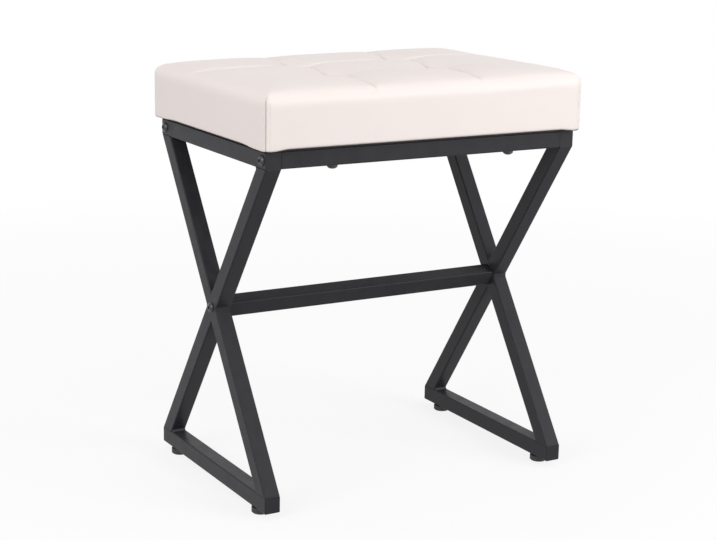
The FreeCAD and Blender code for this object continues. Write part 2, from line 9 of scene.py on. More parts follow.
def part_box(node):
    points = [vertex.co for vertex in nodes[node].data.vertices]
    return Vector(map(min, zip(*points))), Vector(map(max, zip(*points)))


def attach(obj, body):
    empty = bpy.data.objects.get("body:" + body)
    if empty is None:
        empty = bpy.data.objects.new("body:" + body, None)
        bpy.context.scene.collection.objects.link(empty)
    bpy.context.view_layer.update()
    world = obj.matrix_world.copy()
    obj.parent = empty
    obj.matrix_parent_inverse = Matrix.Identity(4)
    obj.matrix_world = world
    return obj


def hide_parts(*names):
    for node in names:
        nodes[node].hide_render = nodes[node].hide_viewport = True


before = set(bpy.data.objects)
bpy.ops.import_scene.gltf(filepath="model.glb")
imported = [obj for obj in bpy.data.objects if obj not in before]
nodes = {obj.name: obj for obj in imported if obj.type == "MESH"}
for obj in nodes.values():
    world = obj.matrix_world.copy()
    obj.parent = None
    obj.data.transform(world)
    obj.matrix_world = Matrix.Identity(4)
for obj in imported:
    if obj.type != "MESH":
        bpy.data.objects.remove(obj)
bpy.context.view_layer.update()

# Side frames
# Two welded frames of square steel tube, each a crossed pair of legs between a top rail and a
# bottom rail, with flat plates over the rails' ends. Tubes, plates and weld beads are powder
# coated charcoal black together after welding, so they share one satin, slightly grained finish.

MM = 0.001


def shader_group(name, inputs, outputs):
    """An empty shader group with named sockets. Returns the tree and its two end nodes."""
    tree = bpy.data.node_groups.new(name, "ShaderNodeTree")
    for label, kind, value in inputs:
        socket = tree.interface.new_socket(label, in_out="INPUT", socket_type=kind)
        socket.default_value = value
    for label, kind in outputs:
        tree.interface.new_socket(label, in_out="OUTPUT", socket_type=kind)
    return tree, tree.nodes.new("NodeGroupInput"), tree.nodes.new("NodeGroupOutput")


def noise(tree, vector, scale, detail, roughness=0.5):
    """A noise texture node fed by a vector socket. scale is a socket or a number."""
    node = tree.nodes.new("ShaderNodeTexNoise")
    node.inputs["Detail"].default_value = detail
    node.inputs["Roughness"].default_value = roughness
    tree.links.new(vector, node.inputs["Vector"])
    if isinstance(scale, (int, float)):
        node.inputs["Scale"].default_value = scale
    else:
        tree.links.new(scale, node.inputs["Scale"])
    return node.outputs["Fac"]


def mapped(tree, value, low, high, to_low, to_high):
    """A Map Range node. The two target values are sockets or numbers."""
    node = tree.nodes.new("ShaderNodeMapRange")
    node.inputs["From Min"].default_value = low
    node.inputs["From Max"].default_value = high
    tree.links.new(value, node.inputs["Value"])
    for label, target in (("To Min", to_low), ("To Max", to_high)):
        if isinstance(target, (int, float)):
            node.inputs[label].default_value = target
        else:
            tree.links.new(target, node.inputs[label])
    return node.outputs["Result"]


def math_node(tree, operation, first, second):
    """A Math node. Each input is a socket or a number."""
    node = tree.nodes.new("ShaderNodeMath")
    node.operation = operation
    for socket, value in zip(node.inputs, (first, second)):
        if isinstance(value, (int, float)):
            socket.default_value = value
        else:
            tree.links.new(value, socket)
    return node.outputs["Value"]


def make_surface_group():
    """Uneven tone, sheen and grain of a coated or moulded surface."""
    tree, entry, leave = shader_group(
        "uneven_surface",
        [
            ("Colour", "NodeSocketColor", (0.5, 0.5, 0.5, 1.0)),
            ("Tone Change", "NodeSocketFloat", 0.1),
            ("Patch Scale", "NodeSocketFloat", 20.0),
            ("Grain Scale", "NodeSocketFloat", 900.0),
            ("Rough Low", "NodeSocketFloat", 0.4),
            ("Rough High", "NodeSocketFloat", 0.5),
        ],
        [
            ("Colour", "NodeSocketColor"),
            ("Roughness", "NodeSocketFloat"),
            ("Height", "NodeSocketFloat"),
        ],
    )
    place = tree.nodes.new("ShaderNodeTexCoord").outputs["Object"]
    patch = noise(tree, place, entry.outputs["Patch Scale"], 3.0)
    grain = noise(tree, place, entry.outputs["Grain Scale"], 2.0)
    broad = math_node(tree, "MULTIPLY", patch, 0.7)
    fine = math_node(tree, "MULTIPLY", grain, 0.3)
    blotch = math_node(tree, "ADD", broad, fine)
    darker = math_node(tree, "SUBTRACT", 1.0, entry.outputs["Tone Change"])
    lighter = math_node(tree, "ADD", 1.0, entry.outputs["Tone Change"])
    tint = tree.nodes.new("ShaderNodeHueSaturation")
    tree.links.new(entry.outputs["Colour"], tint.inputs["Color"])
    tree.links.new(mapped(tree, blotch, 0.3, 0.7, darker, lighter), tint.inputs["Value"])
    tree.links.new(tint.outputs["Color"], leave.inputs["Colour"])
    rough = mapped(tree, patch, 0.3, 0.7, entry.outputs["Rough Low"], entry.outputs["Rough High"])
    tree.links.new(rough, leave.inputs["Roughness"])
    tree.links.new(grain, leave.inputs["Height"])
    return tree


UNEVEN_SURFACE = make_surface_group()


def finish(name, colour, tone=0.08, patch=22.0, grain=900.0, rough=(0.4, 0.5), bump_mm=0.02, metallic=0.0):
    """A material of the uneven surface group, with its bump in millimetres."""
    material = bpy.data.materials.new(name)
    material.use_nodes = True
    tree = material.node_tree
    shader = tree.nodes["Principled BSDF"]
    surface = tree.nodes.new("ShaderNodeGroup")
    surface.node_tree = UNEVEN_SURFACE
    surface.inputs["Colour"].default_value = (*colour, 1.0)
    surface.inputs["Tone Change"].default_value = tone
    surface.inputs["Patch Scale"].default_value = patch
    surface.inputs["Grain Scale"].default_value = grain
    surface.inputs["Rough Low"].default_value = rough[0]
    surface.inputs["Rough High"].default_value = rough[1]
    bump = tree.nodes.new("ShaderNodeBump")
    bump.inputs["Strength"].default_value = 1.0
    bump.inputs["Distance"].default_value = bump_mm * MM
    tree.links.new(surface.outputs["Height"], bump.inputs["Height"])
    tree.links.new(surface.outputs["Colour"], shader.inputs["Base Color"])
    tree.links.new(surface.outputs["Roughness"], shader.inputs["Roughness"])
    tree.links.new(bump.outputs["Normal"], shader.inputs["Normal"])
    shader.inputs["Metallic"].default_value = metallic
    return material


def dress(material, *names):
    """Gives CAD nodes a material."""
    for name in names:
        mesh = nodes[name].data
        mesh.materials.clear()
        mesh.materials.append(material)


powder_coat = finish(
    "charcoal_powder_coat", (0.029, 0.029, 0.033), tone=0.16, patch=60.0, grain=1100.0,
    rough=(0.34, 0.46), bump_mm=0.05,
)
powder_coat.node_tree.nodes["Principled BSDF"].inputs["Specular IOR Level"].default_value = 0.13
for side in ("left", "right"):
    dress(
        powder_coat, side + "_top_rail", side + "_bottom_rail", side + "_top_rail_caps",
        side + "_bottom_rail_caps", side + "_long_diagonal", side + "_upper_half_diagonal",
        side + "_lower_half_diagonal", side + "_weld_beads",
    )

# Cross tubes
# The front and rear rails that carry the seat, and the stretcher between the two crossings, are
# cut from the same tube and coated in the same batch. Each end holds a tapped steel plug, which
# the coat doesn't reach.

dress(powder_coat, "front_rail", "rear_rail", "stretcher")
bare_steel = finish(
    "bare_machined_steel", (0.42, 0.42, 0.43), tone=0.05, patch=90.0, grain=1500.0,
    rough=(0.28, 0.4), bump_mm=0.01, metallic=1.0,
)
dress(bare_steel, "front_rail_plugs", "rear_rail_plugs", "stretcher_plugs")

# Frame bolts
# M6 button head bolts hold the cross tubes between the side frames. They are steel with a thin
# black zinc finish, a little glossier than the coat round them.

black_zinc = finish(
    "black_zinc_bolt", (0.035, 0.035, 0.038), tone=0.1, patch=150.0, grain=1800.0,
    rough=(0.24, 0.34), bump_mm=0.01,
)
dress(black_zinc, "left_side_bolts", "right_side_bolts", "seat_bolts", "seat_washers")

# Levelling feet
# Rivet nuts in the bottom rails, zinc plated studs that screw in them, and round pads moulded
# in matt black plastic, which turn on the studs' heads and stand on the floor.

zinc_plate = finish(
    "bright_zinc_plate", (0.60, 0.61, 0.63), tone=0.06, patch=120.0, grain=1600.0,
    rough=(0.25, 0.38), bump_mm=0.01, metallic=1.0,
)
moulded_black = finish(
    "moulded_black_plastic", (0.022, 0.022, 0.023), tone=0.12, patch=80.0, grain=2200.0,
    rough=(0.5, 0.62), bump_mm=0.03,
)
dress(zinc_plate, "left_foot_nuts", "right_foot_nuts", "tee_nuts")
for corner in ("front_left", "front_right", "rear_left", "rear_right"):
    dress(zinc_plate, corner + "_foot_stud")
    dress(moulded_black, corner + "_foot_pad")

# Seat board and what is fixed in it
# A birch plywood board under the foam, with tee nuts pressed in from above and staples shot in
# from below. Its grain runs along the stool's width.


def make_plywood():
    """Raw plywood: long grain on the faces, thin glue lines on the cut edges."""
    ply_thickness = 2.4 * MM
    material = finish(
        "birch_plywood", (0.66, 0.50, 0.33), tone=0.1, patch=30.0, grain=700.0,
        rough=(0.55, 0.7), bump_mm=0.05,
    )
    tree = material.node_tree
    shader = tree.nodes["Principled BSDF"]
    place = tree.nodes.new("ShaderNodeTexCoord").outputs["Object"]
    stretch = tree.nodes.new("ShaderNodeMapping")
    stretch.inputs["Scale"].default_value = (0.06, 1.0, 1.0)
    tree.links.new(place, stretch.inputs["Vector"])
    streak = noise(tree, stretch.outputs["Vector"], 260.0, 4.0, 0.6)
    split = tree.nodes.new("ShaderNodeSeparateXYZ")
    tree.links.new(place, split.inputs["Vector"])
    plies = math_node(tree, "DIVIDE", split.outputs["Z"], ply_thickness)
    ply = math_node(tree, "FRACT", plies, 0.0)
    glue = mapped(tree, ply, 0.0, 0.12, 0.55, 1.0)
    grain_tone = mapped(tree, streak, 0.3, 0.7, 0.82, 1.12)
    tint = tree.nodes.new("ShaderNodeHueSaturation")
    tree.links.new(shader.inputs["Base Color"].links[0].from_socket, tint.inputs["Color"])
    tree.links.new(math_node(tree, "MULTIPLY", glue, grain_tone), tint.inputs["Value"])
    tree.links.new(tint.outputs["Color"], shader.inputs["Base Color"])
    return material


dress(make_plywood(), "seat_board")
dress(zinc_plate, "cover_staples", "dust_cover_staples")
tie_cord = finish(
    "twisted_tie_cord", (0.74, 0.70, 0.62), tone=0.15, patch=300.0, grain=2500.0,
    rough=(0.75, 0.9), bump_mm=0.1,
)
dress(tie_cord, "tuft_ties")

# Dust cover
# A thin black non-woven sheet that closes the underside, trapped between the board and the
# rails and stapled all round. Its heat-bonded dots make a fine square pattern.


def make_dust_fabric():
    """Black non-woven fabric with a grid of small bonded dots."""
    material = finish(
        "black_nonwoven", (0.020, 0.020, 0.022), tone=0.25, patch=45.0, grain=1400.0,
        rough=(0.85, 0.95), bump_mm=0.08,
    )
    tree = material.node_tree
    dots = tree.nodes.new("ShaderNodeTexVoronoi")
    dots.inputs["Scale"].default_value = 650.0
    dots.inputs["Randomness"].default_value = 0.15
    tree.links.new(tree.nodes.new("ShaderNodeTexCoord").outputs["Object"], dots.inputs["Vector"])
    dot = mapped(tree, dots.outputs["Distance"], 0.1, 0.35, 0.0, 1.0)
    bump = tree.nodes["Bump"]
    height = math_node(tree, "ADD", dot, bump.inputs["Height"].links[0].from_socket)
    tree.links.new(height, bump.inputs["Height"])
    return material


dust_fabric = make_dust_fabric()
dress(dust_fabric, "dust_cover")

# Seat pad
# A foam block on the board under a smooth cream coated fabric, sewn at its four upright corners.
# Four ties pull it down at tuft points, so that creases part the top into three by three puffs.
# These are shaped in the mesh, and a cloth simulation lets the cover settle slightly over them.

COVER_LOW, COVER_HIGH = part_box("seat_cover")
HALF_W = (COVER_HIGH.x - COVER_LOW.x) / 2.0
HALF_D = (COVER_HIGH.y - COVER_LOW.y) / 2.0
PAD_BASE = COVER_LOW.z
PAD_SHIFT = -1.5 * MM         # the pad is bolted on this far left of the frame's middle
CROWN = 72.0 * MM             # heights over the pad's base: top of the middle puffs
EDGE_DROP = 3.0 * MM          # outer puffs are this much lower at the outer edges
TILT = 1.7 * MM               # the foam is this much higher at the right end, lower at the left
RIGHT_RISE = 1.4 * MM         # and the right puffs and front right shoulder swell a little more
SHOULDER = 16.0 * MM          # rounding between sides and top
SHOULDER_BASE = 51.0 * MM     # where it starts
PLAN_ROUND = 7.0 * MM         # upright corners, seen from above
BASE_ROUND = 2.0 * MM         # tuck of the sides under the pad
LIFT = (3.0 * MM, 3.2 * MM)   # height of the sides' lower edge: left and right, front and rear
LIFT_REACH = 5.0 * MM         # from there the underside slopes in to the board
CORNER_LIFT = 1.2 * MM        # the sewn corners hang lower
TUFT_X = HALF_W / 3.0
TUFT_Y = HALF_D / 3.0
CREASE_DEPTH = 4.8 * MM       # halfway between two tufts
TUFT_DEPTH = 18.0 * MM
TUFT_REACH = 23.0 * MM        # of the hollow round a tuft
PUFF_REACH = 24.0 * MM        # of a puff's slope towards a crease
CELL = 5.0 * MM               # of the mesh


def grid_lines(half, tuft):
    """Grid lines across the pad: close at the shoulders and creases, even between them."""
    angles = (0, 18, 34, 48, 62, 76, 90)
    lines = {half - SHOULDER * (1.0 - math.cos(math.radians(angle))) for angle in angles}
    near = (0.0, 1.4 * MM, 3.2 * MM, 6.0 * MM)
    lines.update(tuft + sign * step for step in near for sign in (-1, 1))
    for low, high in ((0.0, tuft - near[-1]), (tuft + near[-1], half - SHOULDER)):
        count = max(1, round((high - low) / CELL))
        lines.update(low + (high - low) * i / count for i in range(count + 1))
    ordered = sorted(lines)
    kept = [ordered[0]]
    for line in ordered[1:]:
        if line - kept[-1] > 0.3 * MM:
            kept.append(line)
    return [-line for line in reversed(kept) if line > 0.0] + kept


def crease(across, along, fold_at, tuft, half, fades, reach_low, reach_high):
    """Depth of one of the two pairs of creases, across the pad from side to side.

    It is deepest at the tufts, and fades from them to the two edges by the two fades. The fold
    is steeper on the side with the shorter reach.
    """
    to_fold = np.abs(across) - fold_at
    spots = np.exp(-(((np.abs(along) - tuft) / TUFT_REACH) ** 2))
    depth = CREASE_DEPTH + (TUFT_DEPTH - CREASE_DEPTH) * spots
    out = np.clip((np.abs(along) - tuft) / (half - tuft), 0.0, 1.0)
    depth *= 1.0 - (1.0 - np.where(along < 0.0, fades[0], fades[1])) * out
    beyond = np.where(across * to_fold > 0.0, reach_high, reach_low)
    sharp = np.exp(-np.abs(to_fold) / beyond)
    broad = np.exp(-np.abs(to_fold) / PUFF_REACH)
    return depth * (0.5 * sharp + 0.5 * broad)


def smooth_min(a, b, reach):
    """The smaller of two heights, rounded where they meet."""
    h = np.clip(0.5 + 0.5 * (b - a) / reach, 0.0, 1.0)
    return b * (1.0 - h) + a * h - reach * h * (1.0 - h)


def smoothstep(value, low, high):
    """0 below low, 1 above high, and a smooth step between them."""
    t = np.clip((value - low) / (high - low), 0.0, 1.0)
    return t * t * (3.0 - 2.0 * t)


def top_height(x, y):
    """Height of the pad's top over its base."""
    ax, ay = np.abs(x), np.abs(y)
    crown = CROWN - EDGE_DROP * (ax / HALF_W) ** 3 - EDGE_DROP * (ay / HALF_D) ** 3
    crown = crown + TILT * x / HALF_W + RIGHT_RISE * smoothstep(x, 0.0, 70.0 * MM)
    along_y = crease(x, y, TUFT_X, TUFT_Y, HALF_D, (0.9, 0.6), 5.0 * MM, 2.5 * MM)
    rear_x = crease(y, x, TUFT_Y, TUFT_X, HALF_W, (0.75, 0.6), 7.0 * MM, 2.2 * MM)
    front_x = crease(y, x, TUFT_Y, TUFT_X, HALF_W, (0.75, 0.6), 14.0 * MM, 12.0 * MM)
    along_x = np.where(y < 0.0, 0.4 * front_x, rear_x)
    top = crown - (along_y ** 3 + along_x ** 3) ** (1.0 / 3.0)
    for inward in (HALF_W - ax, HALF_D - ay):
        arc = np.clip(1.0 - inward / SHOULDER, 0.0, 1.0)
        side = SHOULDER_BASE + TILT * x / HALF_W + SHOULDER * np.sqrt(1.0 - arc ** 2)
        to_right = smoothstep(x, 60.0 * MM, 200.0 * MM)
        to_front = smoothstep(-y, -20.0 * MM, 60.0 * MM)
        side = side + RIGHT_RISE * to_right * to_front
        side = side + 0.25 * np.clip(inward - SHOULDER, 0.0, None)
        top = smooth_min(top, side, 3.0 * MM)
    return top


def base_height(x, y):
    """Height of the pad's underside over its base: flat on the board, lifted round the rim."""
    inward_x, inward_y = HALF_W - abs(x), HALF_D - abs(y)
    inward = min(inward_x, inward_y)
    from_corner = max(inward_x, inward_y)
    if inward_y < inward_x:
        most = LIFT[1]
        share = float(smoothstep(from_corner, 10.0 * MM, 30.0 * MM))
    else:
        most = LIFT[0]
        share = float(smoothstep(from_corner, 24.0 * MM, 60.0 * MM))
    lift = CORNER_LIFT + (most - CORNER_LIFT) * share
    return lift * min(1.0, max(0.03, 1.0 - (inward - BASE_ROUND) / LIFT_REACH))


def rounded_plan(x, y, half_w, half_d, radius):
    """Moves a point of a rectangle so that the rectangle's corners become round."""
    dx = abs(x) - (half_w - radius)
    dy = abs(y) - (half_d - radius)
    if dx <= 0.0 or dy <= 0.0:
        return x, y
    shrink = max(dx, dy) / math.hypot(dx, dy)
    round_x = math.copysign(half_w - radius + dx * shrink, x)
    round_y = math.copysign(half_d - radius + dy * shrink, y)
    return round_x, round_y


SIDE_RINGS = 13               # rows of faces from the pad's underside to its top


def pad_mesh(name):
    """The pad's closed form as one grid of quads wrapped round a box."""
    xs = grid_lines(HALF_W, TUFT_X)
    ys = grid_lines(HALF_D, TUFT_Y)
    last = SIDE_RINGS
    verts, index = [], {}

    def place(i, j, k):
        if (i, j, k) in index:
            return index[(i, j, k)]
        x, y = rounded_plan(xs[i], ys[j], HALF_W, HALF_D, PLAN_ROUND)
        top = float(top_height(np.array(x), np.array(y)))
        turn = math.radians((0.0, 35.0, 65.0)[k]) if k < 3 else math.radians(90.0)
        pull = BASE_ROUND * (1.0 - math.sin(turn))
        shrink_x, shrink_y = 1.0 - pull / HALF_W, 1.0 - pull / HALF_D
        low = base_height(x * shrink_x, y * shrink_y)
        if k == last:
            z = top
        elif k < 3:
            x, y = x * shrink_x, y * shrink_y
            z = low + BASE_ROUND * (1.0 - math.cos(turn))
        else:
            z = low + BASE_ROUND + (top - low - BASE_ROUND) * (k - 3) / (last - 3)
        index[(i, j, k)] = len(verts)
        verts.append((x + PAD_SHIFT, y, PAD_BASE + z))
        return index[(i, j, k)]

    faces = []
    for i in range(len(xs) - 1):
        for j in range(len(ys) - 1):
            square = ((i, j), (i + 1, j), (i + 1, j + 1), (i, j + 1))
            faces.append([place(*at, last) for at in square])
            faces.append([place(*at, 0) for at in reversed(square)])
    for k in range(last):
        for i in range(len(xs) - 1):
            for j, flip in ((0, False), (len(ys) - 1, True)):
                face = [place(i, j, k), place(i + 1, j, k), place(i + 1, j, k + 1), place(i, j, k + 1)]
                faces.append(face[::-1] if flip else face)
        for j in range(len(ys) - 1):
            for i, flip in ((0, True), (len(xs) - 1, False)):
                face = [place(i, j, k), place(i, j + 1, k), place(i, j + 1, k + 1), place(i, j, k + 1)]
                faces.append(face[::-1] if flip else face)
    mesh = bpy.data.meshes.new(name)
    mesh.from_pydata(verts, [], faces)
    mesh.update()
    return mesh


def link_piece(name, mesh):
    """A new object in the scene."""
    piece = bpy.data.objects.new(name, mesh)
    bpy.context.scene.collection.objects.link(piece)
    return piece


def coordinates(mesh):
    """The mesh's points as an array, from the pad's own middle and base."""
    flat = np.empty(len(mesh.vertices) * 3)
    mesh.vertices.foreach_get("co", flat)
    return flat.reshape(-1, 3) - np.array([PAD_SHIFT, 0.0, PAD_BASE])


def set_coordinates(mesh, points):
    """Puts back points that coordinates() gave."""
    mesh.vertices.foreach_set("co", (points + np.array([PAD_SHIFT, 0.0, PAD_BASE])).ravel())
    mesh.update()


def evaluated_mesh(piece):
    """The piece's mesh with its modifiers applied."""
    depsgraph = bpy.context.evaluated_depsgraph_get()
    return bpy.data.meshes.new_from_object(piece.evaluated_get(depsgraph))


def apply_modifiers(piece):
    """Swaps the piece's mesh for the evaluated one."""
    mesh = evaluated_mesh(piece)
    piece.modifiers.clear()
    piece.data = mesh


SWELL_CAP = 2.0 * MM          # furthest that the simulation may move a point
SWELL_STEPS = 20


def seam_distance(points):
    """Distance of each point from the nearest corner seam, and the way out of that corner."""
    x, y = points[:, 0], points[:, 1]
    out_x = np.abs(x) - (HALF_W - PLAN_ROUND)
    out_y = np.abs(y) - (HALF_D - PLAN_ROUND)
    angle = np.arctan2(np.clip(out_y, 1e-9, None), np.clip(out_x, 1e-9, None))
    round_part = (out_x > 0.0) & (out_y > 0.0)
    across = np.where(round_part, PLAN_ROUND * np.abs(angle - math.pi / 4.0), 1.0)
    half_arc = PLAN_ROUND * math.pi / 4.0
    across = np.where(~round_part, half_arc - np.minimum(out_x, out_y), across)
    outward = np.stack([np.sign(x) * np.cos(angle), np.sign(y) * np.sin(angle), np.zeros(len(x))], 1)
    return across, outward


def swell(pad):
    """Blows the cover up very slightly against its ties, seams, creases and base."""
    start = coordinates(pad.data)
    x, y, z = start.T
    held = pad.vertex_groups.new(name="held")
    to_crease = np.minimum(np.abs(np.abs(x) - TUFT_X), np.abs(np.abs(y) - TUFT_Y))
    to_tuft = np.hypot(np.abs(x) - TUFT_X, np.abs(y) - TUFT_Y)
    on_top = z > SHOULDER_BASE
    across, outward = seam_distance(start)
    weight = np.zeros(len(start))
    weight[on_top & (to_crease < 3.5 * MM)] = 0.9
    weight[on_top & ((to_crease < 0.5 * MM) | (to_tuft < 7.0 * MM))] = 1.0
    weight[(across < 0.5 * MM) & (z < SHOULDER_BASE + 8.0 * MM)] = 0.9
    weight[z < SHOULDER_BASE] = 0.6
    weight[z < max(LIFT) + BASE_ROUND] = 1.0
    for i in np.flatnonzero(weight):
        held.add([int(i)], float(weight[i]), "REPLACE")
    cloth = pad.modifiers.new("swell", "CLOTH")
    settings = cloth.settings
    settings.quality = 6
    settings.mass = 0.3
    settings.tension_stiffness = 15.0
    settings.compression_stiffness = 15.0
    settings.bending_stiffness = 0.8
    settings.use_pressure = True
    settings.uniform_pressure_force = 4.0
    settings.vertex_group_mass = "held"
    settings.effector_weights.gravity = 0.0
    cloth.collision_settings.use_collision = False
    cloth.point_cache.frame_start = 1
    cloth.point_cache.frame_end = SWELL_STEPS
    for step in range(1, SWELL_STEPS + 1):
        bpy.context.scene.frame_set(step)
    end = coordinates(evaluated_mesh(pad))
    pad.modifiers.clear()
    pad.vertex_groups.clear()
    bpy.context.scene.frame_set(1)
    move = end - start
    length = np.linalg.norm(move, axis=1)
    capped = SWELL_CAP * np.tanh(length / SWELL_CAP) / np.maximum(length, 1e-9)
    set_coordinates(pad.data, start + move * capped[:, None])


SEAM_DEPTH = 1.7 * MM
SEAM_TOP = 61.0 * MM          # height over the pad's base where a corner seam ends
PINCH = 1.0 * MM              # groove along the fold of a crease
PINCH_WIDTH = 1.1 * MM
STITCH_IN = 5.3 * MM          # line of stitches beside each corner seam, on the front and rear faces


def sew_and_pinch(pad):
    """Presses the corner seams in between rolled edges, and pinches the folds on the top."""
    points = coordinates(pad.data)
    x, y, z = points.T
    across, outward = seam_distance(points)
    length = 1.0 - smoothstep(z, SEAM_TOP - 3.0 * MM, SEAM_TOP + 2.0 * MM)
    cleft = -SEAM_DEPTH * np.exp(-((across / (0.45 * MM)) ** 2))
    rolled = 0.6 * MM * np.exp(-(((across - 1.8 * MM) / (0.9 * MM)) ** 2))
    near = across < 6.0 * MM
    points += outward * (np.where(near, cleft + rolled, 0.0) * length)[:, None]
    to_x = np.abs(np.abs(x) - TUFT_X)
    to_y = np.abs(np.abs(y) - TUFT_Y)
    on_top = smoothstep(z, SHOULDER_BASE, SHOULDER_BASE + 8.0 * MM)
    groove_x = np.exp(-((to_x / PINCH_WIDTH) ** 2)) * smoothstep(to_y, 10.0 * MM, 30.0 * MM)
    groove_y = np.exp(-((to_y / PINCH_WIDTH) ** 2)) * smoothstep(to_x, 10.0 * MM, 30.0 * MM)
    groove_y = groove_y * (y > 0.0)
    points[:, 2] -= PINCH * np.maximum(groove_x, groove_y) * on_top
    to_stitches = (np.abs(x) - (HALF_W - STITCH_IN)) / (0.9 * MM)
    on_face = (np.abs(y) > HALF_D - 4.0 * MM) & (z < SEAM_TOP)
    points[:, 1] -= np.sign(y) * 0.35 * MM * np.exp(-(to_stitches ** 2)) * on_face
    set_coordinates(pad.data, points)


pad = link_piece("seat_pad", pad_mesh("seat_pad"))
swell(pad)
smooth = pad.modifiers.new("smooth", "SUBSURF")
smooth.levels = smooth.render_levels = 1
apply_modifiers(pad)
sew_and_pinch(pad)
for face in pad.data.polygons:
    face.use_smooth = True


def make_cover_fabric():
    """Cream coated fabric: even tone, soft sheen and a very fine pebbled grain."""
    material = finish(
        "cream_coated_fabric", (0.87, 0.79, 0.762), tone=0.015, patch=14.0, grain=900.0,
        rough=(0.44, 0.52), bump_mm=0.05,
    )
    tree = material.node_tree
    shader = tree.nodes["Principled BSDF"]
    pebbles = tree.nodes.new("ShaderNodeTexVoronoi")
    pebbles.inputs["Scale"].default_value = 1100.0
    tree.links.new(tree.nodes.new("ShaderNodeTexCoord").outputs["Object"], pebbles.inputs["Vector"])
    bump = tree.nodes["Bump"]
    height = math_node(tree, "ADD", pebbles.outputs["Distance"], bump.inputs["Height"].links[0].from_socket)
    tree.links.new(height, bump.inputs["Height"])
    shader.inputs["Sheen Weight"].default_value = 0.1
    shader.inputs["Sheen Roughness"].default_value = 0.4
    return material


cover_fabric = make_cover_fabric()
pad.data.materials.append(cover_fabric)
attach(pad, "frame")
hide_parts("seat_cover", "foam_core")

# Painted shade strip
# A strip in the dust cover's black fabric, laid over the pad's sloping lower edge where the cream
# cover is only in shade. It is painted shade, and shows as a dark slit between the cover and the rails.

SHADE_STRIP_FROM = 1.2 * MM           # inward from the pad's sides
SHADE_STRIP_TO = 11.0 * MM
SHADE_STRIP_THICKNESS = 0.3 * MM


def make_painted_shade_strip(pad):
    """A black strip over the pad's sloping lower edge, in the dust cover's fabric: painted shade."""
    source = pad.data
    keep, verts, faces = {}, [], []
    for face in source.polygons:
        x, y = abs(face.center.x - PAD_SHIFT), abs(face.center.y)
        inward = min(HALF_W - x, HALF_D - y)
        looks_down = face.normal.z <= -0.3 and face.center.z <= PAD_BASE + max(LIFT)
        if not looks_down or not SHADE_STRIP_FROM < inward < SHADE_STRIP_TO:
            continue
        corners = []
        for v in face.vertices:
            if v not in keep:
                keep[v] = len(verts)
                point = source.vertices[v]
                verts.append(point.co + point.normal * SHADE_STRIP_THICKNESS)
            corners.append(keep[v])
        faces.append(corners)
    mesh = bpy.data.meshes.new("painted_shade_strip")
    mesh.from_pydata(verts, [], faces)
    mesh.update()
    for face in mesh.polygons:
        face.use_smooth = True
    # black fabric here paints the shade under the pad's edge
    mesh.materials.append(dust_fabric)
    return link_piece("painted_shade_strip", mesh)


# painted shade: a black strip where the cream cover's lower edge is only shaded
shade_strip = make_painted_shade_strip(pad)
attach(shade_strip, "frame")

# Top stitches of the corner seams
# One line of lockstitch in cream thread beside each upright seam. It holds the seam's turned-in
# edge flat against the front or rear face.


def stitch_lines(pad):
    """A line of points on the cover beside each corner seam, as loose edges."""
    points = [vertex.co for vertex in pad.data.vertices]
    surface = BVHTree.FromPolygons(points, [face.vertices for face in pad.data.polygons])
    verts, edges = [], []
    for side in (-1, 1):
        for face in (-1, 1):
            for step in range(26):
                x = PAD_SHIFT + side * (HALF_W - STITCH_IN)
                z = PAD_BASE + (9.0 + 2.0 * step) * MM
                start = Vector((x, face * (HALF_D + 30.0 * MM), z))
                hit = surface.ray_cast(start, Vector((0.0, -face, 0.0)))[0]
                verts.append((hit.x, hit.y + face * 0.1 * MM, hit.z))
                if step:
                    edges.append((len(verts) - 2, len(verts) - 1))
    mesh = bpy.data.meshes.new("corner_stitches")
    mesh.from_pydata(verts, edges, [])
    return mesh


def stitch_tree():
    """Geometry nodes: short rounded stitches, evenly spaced along the given lines."""
    tree = bpy.data.node_groups.new("row_of_stitches", "GeometryNodeTree")
    tree.interface.new_socket("Lines", in_out="INPUT", socket_type="NodeSocketGeometry")
    for label in ("Pitch", "Length", "Thread"):
        tree.interface.new_socket(label, in_out="INPUT", socket_type="NodeSocketFloat")
    tree.interface.new_socket("Material", in_out="INPUT", socket_type="NodeSocketMaterial")
    tree.interface.new_socket("Stitches", in_out="OUTPUT", socket_type="NodeSocketGeometry")
    entry = tree.nodes.new("NodeGroupInput")
    leave = tree.nodes.new("NodeGroupOutput")
    curve = tree.nodes.new("GeometryNodeMeshToCurve")
    spaced = tree.nodes.new("GeometryNodeResampleCurve")
    spaced.mode = "LENGTH"
    tangent = tree.nodes.new("GeometryNodeInputTangent")
    turned = tree.nodes.new("FunctionNodeAlignRotationToVector")
    turned.axis = "Z"
    bead = tree.nodes.new("GeometryNodeMeshUVSphere")
    bead.inputs["Segments"].default_value = 6
    bead.inputs["Rings"].default_value = 5
    bead.inputs["Radius"].default_value = 0.5
    form = tree.nodes.new("ShaderNodeCombineXYZ")
    placed = tree.nodes.new("GeometryNodeInstanceOnPoints")
    real = tree.nodes.new("GeometryNodeRealizeInstances")
    coloured = tree.nodes.new("GeometryNodeSetMaterial")
    link = tree.links.new
    link(entry.outputs["Lines"], curve.inputs["Mesh"])
    link(curve.outputs["Curve"], spaced.inputs["Curve"])
    link(entry.outputs["Pitch"], spaced.inputs["Length"])
    link(tangent.outputs["Tangent"], turned.inputs["Vector"])
    link(entry.outputs["Thread"], form.inputs["X"])
    link(entry.outputs["Thread"], form.inputs["Y"])
    link(entry.outputs["Length"], form.inputs["Z"])
    link(spaced.outputs["Curve"], placed.inputs["Points"])
    link(bead.outputs["Mesh"], placed.inputs["Instance"])
    link(turned.outputs["Rotation"], placed.inputs["Rotation"])
    link(form.outputs["Vector"], placed.inputs["Scale"])
    link(placed.outputs["Instances"], real.inputs["Geometry"])
    link(real.outputs["Geometry"], coloured.inputs["Geometry"])
    link(entry.outputs["Material"], coloured.inputs["Material"])
    link(coloured.outputs["Geometry"], leave.inputs["Stitches"])
    return tree


